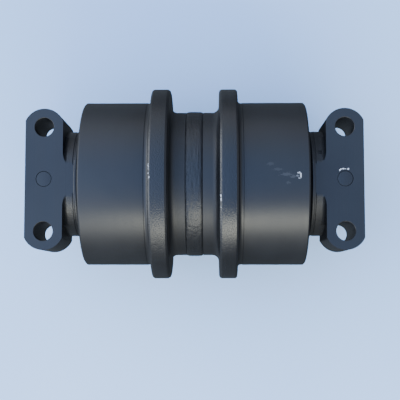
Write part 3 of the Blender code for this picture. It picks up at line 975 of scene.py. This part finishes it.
def ring_noise(place):
    inputs = {"W": place, "Scale": 1.0, "Detail": 2.0}
    return add(tool_lines, "ShaderNodeTexNoise", inputs, noise_dimensions="1D").outputs["Fac"]


ring_place = maths(tool_lines, "DIVIDE", lines_in["Across"], lines_in["Spacing"])
fine_rings = ring_noise(ring_place)
broad_rings = ring_noise(maths(tool_lines, "MULTIPLY", ring_place, BROAD_STEP))
broad_height = maths(tool_lines, "MULTIPLY", broad_rings, 1 - FINE_SHARE)
ring_sum = maths(tool_lines, "MULTIPLY_ADD", fine_rings, FINE_SHARE, broad_height)
fill(tool_lines, lines_out, {"Height": ring_sum, "Tone": broad_rings})
print("tool lines:", len(tool_lines.nodes), "nodes")

# %% [markdown]
# Forged steel that was only shot-blasted has a pebbly skin: soft lumps with small dents between them. Noise
# gives the lumps and a cell pattern gives the dents, which plain noise alone would leave too smooth.

# %% Group: forged skin
DENT_STEP = 0.55
LUMP_SHARE = 0.7

forged_skin, forged_in, forged_out = new_group(
    "forged_skin", {"Vector": (VECTOR, None), "Grain": (FLOAT, 0.0010)}, {"Height": FLOAT, "Tone": FLOAT}
)
grain_scale = maths(forged_skin, "DIVIDE", 1.0, forged_in["Grain"])
skin_lumps = clouds(forged_skin, forged_in["Vector"], grain_scale, 3.0)
dent_scale = maths(forged_skin, "MULTIPLY", grain_scale, DENT_STEP)
dents = add(forged_skin, "ShaderNodeTexVoronoi", {"Vector": forged_in["Vector"], "Scale": dent_scale})
dent_depth = between(forged_skin, dents.outputs["Distance"], 0.05, 0.55)
dent_height = maths(forged_skin, "MULTIPLY", dent_depth, 1 - LUMP_SHARE)
skin_height = maths(forged_skin, "MULTIPLY_ADD", skin_lumps, LUMP_SHARE, dent_height)
fill(forged_skin, forged_out, {"Height": skin_height, "Tone": skin_lumps})
print("forged skin:", len(forged_skin.nodes), "nodes")

# %% [markdown]
# Sprayed satin paint isn't even: its tone drifts a little over a hand's width, and dry overspray makes fine
# specks that are rougher than the rest. The drift changes colour and roughness together, because the same
# thickness of paint causes both.

# %% Group: satin paint
DRIFT_SCALE = 16.0
SPECK_SCALE = 1500.0
DRIFT_ROUGHNESS = 0.05
SPECK_ROUGHNESS = 0.06

satin_paint, satin_in, satin_out = new_group(
    "satin_paint",
    {
        "Vector": (VECTOR, None),
        "Dark": (COLOUR, (0.02, 0.022, 0.026, 1)),
        "Light": (COLOUR, (0.04, 0.044, 0.05, 1)),
        "Gloss": (FLOAT, 0.40),
    },
    {"Colour": COLOUR, "Roughness": FLOAT, "Height": FLOAT},
)
drift = between(satin_paint, clouds(satin_paint, satin_in["Vector"], DRIFT_SCALE, 3.0), 0.3, 0.7)
specks = clouds(satin_paint, satin_in["Vector"], SPECK_SCALE, 1.0)
speck_mask = between(satin_paint, specks, 0.45, 0.75)
paint_colour = mix_colour(satin_paint, drift, satin_in["Dark"], satin_in["Light"])
rough_drift = maths(satin_paint, "MULTIPLY_ADD", drift, DRIFT_ROUGHNESS, satin_in["Gloss"])
paint_rough = maths(satin_paint, "MULTIPLY_ADD", speck_mask, SPECK_ROUGHNESS, rough_drift)
fill(satin_paint, satin_out, {"Colour": paint_colour, "Roughness": paint_rough, "Height": specks})
print("satin paint:", len(satin_paint.nodes), "nodes")

# %% [markdown]
# Handling knocks small chips off the paint. A chip is a ragged blob: the distance to its middle, disturbed
# by noise and cut off at its size. Stretch makes it longer one way, as along an edge. A noise threshold
# would scatter chips anywhere, while on the roller they sit where it was gripped or knocked.

# %% Group: paint chip
CHIP_GRAIN = 900.0
CHIP_RAGGED = 2.4
CHIP_REACH = 2.2
CHIP_EDGE = (0.8, 1.05)

paint_chip, chip_in, chip_out = new_group(
    "paint_chip",
    {
        "Vector": (VECTOR, None),
        "Middle": (VECTOR, None),
        "Stretch": (VECTOR, (1, 1, 1)),
        "Size": (FLOAT, 0.002),
    },
    {"Mask": FLOAT},
)
chip_vector = chip_in["Vector"]
for operation, operand in (("SUBTRACT", chip_in["Middle"]), ("DIVIDE", chip_in["Stretch"])):
    change = add(paint_chip, "ShaderNodeVectorMath", {0: chip_vector, 1: operand}, operation=operation)
    chip_vector = change.outputs[0]
chip_length = add(paint_chip, "ShaderNodeVectorMath", {0: chip_vector}, operation="LENGTH").outputs["Value"]
chip_noise = clouds(paint_chip, chip_in["Vector"], CHIP_GRAIN, 4.0)
chip_ragged = maths(paint_chip, "MULTIPLY_ADD", chip_noise, -CHIP_RAGGED, CHIP_REACH)
chip_ratio = maths(paint_chip, "DIVIDE", chip_length, chip_in["Size"])
chip_distance = maths(paint_chip, "MULTIPLY", chip_ratio, chip_ragged)
chip_outside = between(paint_chip, chip_distance, *CHIP_EDGE)
fill(paint_chip, chip_out, {"Mask": maths(paint_chip, "SUBTRACT", 1.0, chip_outside)})
print("paint chip:", len(paint_chip.nodes), "nodes")

# %% [markdown]
# Where the steel is forged and where it was turned follows from how the part is made, so the masks are
# functions of the place: the distance from the axis, the distance along it, and the height. Vertex colours
# would do too, but they'd be only as sharp as the mesh.

# %% Masks
FORGED_START = TREAD_RADIUS + 2 * MM
FORGED_FULL = TREAD_RADIUS + 6 * MM
CUT_START = 0.2 * MM
CUT_FULL = 0.7 * MM


def radius_of(tree, xyz):
    """Distance from the axis."""
    squares = [maths(tree, "POWER", xyz[axis], 2.0) for axis in "XZ"]
    return maths(tree, "SQRT", maths(tree, "ADD", *squares))


def along_shaft(tree, xyz):
    return xyz["Y"]


def across_turning(tree, xyz):
    """Runs along a cylinder and outwards on an end face, so one value crosses the tool's lines on both."""
    return maths(tree, "ADD", xyz["Y"], radius_of(tree, xyz))


def flange_mask(tree, xyz):
    """The crown and the upper sides of the flanges stay as forged."""
    return between(tree, radius_of(tree, xyz), FORGED_START, FORGED_FULL)


def below_mill(tree, xyz):
    """A collar is milled on top and turned on its outer face, and forged elsewhere."""
    below = between(tree, xyz["Z"], MOUNT_HEIGHT - CUT_START, MOUNT_HEIGHT - CUT_FULL)
    inward = between(tree, maths(tree, "ABSOLUTE", xyz["Y"]), OUTER_FACE - CUT_START, OUTER_FACE - CUT_FULL)
    return maths(tree, "MULTIPLY", below, inward)


def all_forged(tree, xyz):
    return maths(tree, "ADD", 1.0, 0.0)


def none_forged(tree, xyz):
    return maths(tree, "ADD", 0.0, 0.0)


print("flanges turn to forged skin", round(FORGED_START / MM, 1), "mm from the axis")

# %% [markdown]
# Two places are duller than the rest. The waist is sheltered between the flanges, and dust lies on thin
# paint between a collar's lug and the shell. Both only raise the roughness, so they need no second paint.

# %% Dull places
WAIST_DULLNESS = 0.40
LUG_FACE = LUG_MIDDLE - LUG_HALF


def waist_dust(tree, xyz):
    near = between(tree, radius_of(tree, xyz), WAIST_RADIUS + 1.6 * MM, WAIST_RADIUS + 0.4 * MM)
    return maths(tree, "MULTIPLY", near, WAIST_DULLNESS)


def recess_dust(tree, xyz):
    inward = between(tree, maths(tree, "ABSOLUTE", xyz["Y"]), LUG_FACE + 1 * MM, LUG_FACE)
    below = between(tree, xyz["Z"], MOUNT_HEIGHT - CUT_START, MOUNT_HEIGHT - 1.0 * MM)
    return maths(tree, "MULTIPLY", inward, below)


print("dust lies inward of", round(LUG_FACE / MM, 1), "mm")

# %% [markdown]
# A material places a group by name, reads the object's coordinates, and may need many chips at once. The
# chips' masks are joined by taking the highest, so that two chips that overlap don't add up.

# %% Recipe helpers
def object_coords(tree):
    """Object coordinates, whole and split."""
    coords = tree.nodes.new("ShaderNodeTexCoord").outputs["Object"]
    return coords, add(tree, "ShaderNodeSeparateXYZ", {0: coords}).outputs


def use_group(tree, group, inputs):
    return add(tree, "ShaderNodeGroup", inputs, node_tree=group).outputs


def chips_mask(tree, coords, chips):
    """One mask for many chips, each (middle, stretch, size, strength) in millimetres. Strength 1 is bare."""
    mask = None
    for middle, stretch, size, strength in chips:
        inputs = {"Vector": coords, "Middle": Vector(middle) * MM, "Stretch": stretch, "Size": size * MM}
        shown = maths(tree, "MULTIPLY", use_group(tree, paint_chip, inputs)["Mask"], strength)
        mask = shown if mask is None else maths(tree, "MAXIMUM", mask, shown)
    return mask


print("groups to choose from:", [group.name for group in bpy.data.node_groups])

# %% [markdown]
# The painted materials share one recipe and differ in their masks, their chips and their gloss. The heights
# of the steel and of the paint are added before the bump, so the turned lines still show through the
# specks.

# %% Paint recipe
PAINT_DARK = (0.0050, 0.0056, 0.0066, 1)
PAINT_LIGHT = (0.0085, 0.0094, 0.0108, 1)
CHIP_COLOUR = (0.66, 0.68, 0.70, 1)
CHIP_ROUGHNESS = 0.2
DULL_ROUGHNESS = 0.24
TURNED_DEPTH = 0.34
FORGED_DEPTH = 1.35
SPECK_DEPTH = 0.05
BUMP_DISTANCE = 0.18 * MM
TONE_SPREAD = 0.05


def painted(name, forged_mask, across, spacing, chips=(), gloss=0.36, forged_gloss=-0.07, dull=None):
    """Black satin paint. forged_mask, across and dull take (tree, xyz) and return a socket."""
    material, tree, shader = new_material(name)
    coords, xyz = object_coords(tree)
    mask = forged_mask(tree, xyz)
    satin_inputs = {"Vector": coords, "Dark": PAINT_DARK, "Light": PAINT_LIGHT, "Gloss": gloss}
    satin = use_group(tree, satin_paint, satin_inputs)
    lines = use_group(tree, tool_lines, {"Across": across(tree, xyz), "Spacing": spacing})
    forged = use_group(tree, forged_skin, {"Vector": coords})

    turned_height = maths(tree, "MULTIPLY", lines["Height"], TURNED_DEPTH)
    forged_height = maths(tree, "MULTIPLY", forged["Height"], FORGED_DEPTH)
    skin = add(tree, "ShaderNodeMix", {"Factor": mask, "A": turned_height, "B": forged_height})
    height = maths(tree, "MULTIPLY_ADD", satin["Height"], SPECK_DEPTH, skin.outputs["Result"])
    bump = add(tree, "ShaderNodeBump", {"Height": height, "Distance": BUMP_DISTANCE, "Strength": 1.0})

    tone = maths(tree, "MULTIPLY_ADD", lines["Tone"], TONE_SPREAD, -TONE_SPREAD / 2)
    roughness = maths(tree, "ADD", satin["Roughness"], tone)
    roughness = maths(tree, "MULTIPLY_ADD", mask, forged_gloss, roughness)
    colour = satin["Colour"]
    if chips:
        bare_spots = chips_mask(tree, coords, chips)
        colour = mix_colour(tree, bare_spots, colour, CHIP_COLOUR)
        roughness = maths(tree, "MULTIPLY_ADD", bare_spots, CHIP_ROUGHNESS, roughness)
    if dull is not None:
        roughness = maths(tree, "MULTIPLY_ADD", dull(tree, xyz), DULL_ROUGHNESS, roughness)

    look = {"Normal": bump.outputs["Normal"], "Base Color": colour, "Roughness": roughness}
    fill(tree, shader.inputs, look)
    return material


print("paint is between", PAINT_DARK[:3], "and", PAINT_LIGHT[:3])

# %% [markdown]
# The chips sit in a few places: along the edges of the flanges' crowns, on the right tread by the end, and
# round the pin of the right collar. Each is (middle, stretch, size, strength).

# %% Chips
LEFT_CHIPS = [
    ((7.3, 39.4, 89.9), (1.6, 0.5, 0.8), 1.2, 0.45), ((3.9, 39.2, 90.0), (1.5, 0.4, 0.8), 0.8, 0.35),
    ((0.4, 39.3, 90.1), (1.4, 0.5, 0.8), 0.9, 0.45), ((-3.2, 38.6, 90.2), (1.3, 0.5, 0.8), 0.9, 0.45),
]
RIGHT_CHIPS = [
    ((-19.7, -24.1, 88.0), (1.4, 0.5, 0.8), 1.2, 0.7), ((-23.1, -24.1, 87.2), (1.5, 0.6, 0.8), 1.3, 0.6),
    ((-29.0, -23.9, 85.5), (1.0, 0.5, 0.8), 1.0, 0.5), ((1.9, -93.2, 77.4), (0.6, 1.3, 1.0), 1.2, 0.5),
    ((-0.6, -94.6, 77.4), (1.7, 0.6, 1.0), 1.3, 0.6), ((-2.9, -93.4, 77.4), (0.7, 1.0, 1.0), 0.9, 0.35),
    ((-0.8, -91.9, 77.4), (0.8, 1.2, 1.0), 1.0, 0.15), ((0.6, -82.0, 77.3), (0.7, 2.6, 1.0), 2.0, 0.030),
    ((5.0, -75.0, 77.2), (0.7, 2.4, 1.0), 1.6, 0.020), ((10.0, -68.0, 76.8), (1.0, 2.0, 1.0), 1.5, 0.020),
    ((-6.8, -83.6, 77.0), (0.8, 1.8, 1.0), 1.2, 0.020), ((-1.5, -88.0, 77.3), (1.0, 1.6, 1.0), 1.4, 0.035),
]
COLLAR_CHIPS = [
    ((7.3, -132.6, 48.0), (1.0, 0.7, 0.8), 0.65, 1.0), ((8.4, -133.5, 48.0), (0.9, 1.0, 0.8), 0.80, 1.0),
    ((8.9, -135.7, 48.0), (0.6, 2.0, 0.8), 0.75, 1.0), ((8.8, -137.5, 48.0), (0.5, 1.5, 0.8), 0.60, 0.9),
    ((8.8, -140.3, 48.0), (1.0, 1.0, 0.8), 0.80, 1.0),
]
print("chips:", len(LEFT_CHIPS + RIGHT_CHIPS + COLLAR_CHIPS))

# %% [markdown]
# The two halves wear a little differently: the left one is a touch duller, and the right one's flange
# shinier. The weld carries paint over a rough skin, and only the right collar has chips and dust.

# %% Painted materials
SHELL_LINES = 0.7 * MM
COLLAR_LINES = 1.2 * MM

left_paint = painted(
    "shell_paint_left", flange_mask, across_turning, SHELL_LINES, LEFT_CHIPS, gloss=0.385, dull=waist_dust
)
right_paint = painted(
    "shell_paint_right", flange_mask, across_turning, SHELL_LINES, RIGHT_CHIPS,
    forged_gloss=-0.16, dull=waist_dust,
)
weld_paint = painted("weld_paint", all_forged, along_shaft, SHELL_LINES, gloss=0.42)
collar_paint = painted("collar_paint", below_mill, along_shaft, COLLAR_LINES)
collar_paint_right = painted(
    "collar_paint_right", below_mill, along_shaft, COLLAR_LINES, COLLAR_CHIPS, dull=recess_dust
)
print("right shell paint:", len(right_paint.node_tree.nodes), "nodes")

# %% [markdown]
# Inside, nothing is painted. The bushes are bronze, the seal rings are hard grey iron with lapped faces,
# the toric rings and O-rings are rubber, and the washer is soft copper. They share one simple recipe: two
# tones of the metal, with turned lines in its gloss and its height.

# %% Bare finishes
BARE_TONE = 0.16


def bare(name, dark, light, roughness, metallic, grain, bump_depth):
    material, tree, shader = new_material(name)
    coords, xyz = object_coords(tree)
    lines = use_group(tree, tool_lines, {"Across": across_turning(tree, xyz), "Spacing": grain})
    skin = use_group(tree, forged_skin, {"Vector": coords, "Grain": grain})
    colour = mix_colour(tree, skin["Tone"], (*dark, 1), (*light, 1))
    gloss = maths(tree, "MULTIPLY_ADD", lines["Tone"], BARE_TONE, roughness)
    bump = add(tree, "ShaderNodeBump", {"Height": lines["Height"], "Distance": bump_depth, "Strength": 1.0})
    look = {"Normal": bump.outputs["Normal"], "Base Color": colour, "Roughness": gloss, "Metallic": metallic}
    fill(tree, shader.inputs, look)
    return material


bronze = bare("bush_bronze_turned", (0.42, 0.25, 0.10), (0.62, 0.42, 0.20), 0.26, 1.0, 0.4 * MM, 0.02 * MM)
seal_iron = bare("seal_iron_lapped", (0.28, 0.28, 0.29), (0.42, 0.42, 0.43), 0.16, 1.0, 0.3 * MM, 0.01 * MM)
rubber = bare("black_rubber", (0.012, 0.012, 0.013), (0.028, 0.028, 0.030), 0.62, 0.0, 0.8 * MM, 0.02 * MM)
copper = bare("soft_copper", (0.62, 0.28, 0.16), (0.80, 0.42, 0.27), 0.24, 1.0, 0.5 * MM, 0.02 * MM)
print("bare finishes:", [finish.name for finish in (bronze, seal_iron, rubber, copper)])

# %% [markdown]
# The shaft is ground steel, but its two ends were sprayed with the rest. Two materials on one piece would
# need an edge at the paint's limit, so one material mixes both finishes by how far along the shaft a point
# lies.

# %% Shaft finish
GROUND_STEEL = (0.46, 0.46, 0.47, 1)
PAINT_FADE = (SHAFT_END - 8 * MM, SHAFT_END - 7 * MM)


def shaft_finish():
    material = painted("shaft_painted_ends", none_forged, across_turning, 0.5 * MM)
    tree = material.node_tree
    shader = tree.nodes["Principled BSDF"]
    xyz = object_coords(tree)[1]
    end = between(tree, maths(tree, "ABSOLUTE", xyz["Y"]), *PAINT_FADE)
    paint = shader.inputs["Base Color"].links[0].from_socket
    colour = mix_colour(tree, end, GROUND_STEEL, paint)
    fill(tree, shader.inputs, {"Base Color": colour, "Metallic": maths(tree, "SUBTRACT", 1.0, end)})
    return material


shaft_coat = shaft_finish()
print("the shaft's paint ends", round(PAINT_FADE[0] / MM, 1), "mm from the middle")

# %% [markdown]
# Each new piece gets its finish and rides on its CAD body, so that it turns with the roller or stays with
# the axle, and the CAD node that it stands for is hidden. A single joined mesh would look the same at rest
# and couldn't move.

# %% Finish and place the pieces
def place(piece, material, body, node, slot):
    piece.data.materials.clear()
    piece.data.materials.append(material)
    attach(piece, body)
    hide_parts(node)


place(half_left, left_paint, "roller", "shell_half_left", "black_paint")
place(half_right, right_paint, "roller", "shell_half_right", "black_paint")
place(weld_ring, weld_paint, "roller", "weld_bead", "black_paint")
place(collar_left, collar_paint, "axle", "collar_left", "black_paint")
place(collar_right, collar_paint_right, "axle", "collar_right", "black_paint")
place(pin_left, collar_paint, "axle", "lock_pin_left", "black_paint")
place(pin_right, collar_paint, "axle", "lock_pin_right", "black_paint")
place(shaft, shaft_coat, "axle", "shaft", "shaft_steel")
place(plug, collar_paint, "axle", "filler_plug", "black_paint")
print("placed on the roller and the axle:", len(bpy.data.meshes), "meshes in all")

# %% [markdown]
# The nodes inside keep their CAD shape, because nobody sees them while the roller is whole. They only get
# their finish, in their own slots.

# %% Finish the pieces inside
kept_finishes = {
    "bush": bronze,
    "seal_ring": seal_iron,
    "toric": rubber,
    "shaft_oring": rubber,
    "plug_washer": copper,
}
for node_name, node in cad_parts.items():
    for start, material in kept_finishes.items():
        if node_name.startswith(start):
            for material_slot in node.material_slots:
                material_slot.material = material
print("finished inside:", sorted(kept_finishes))
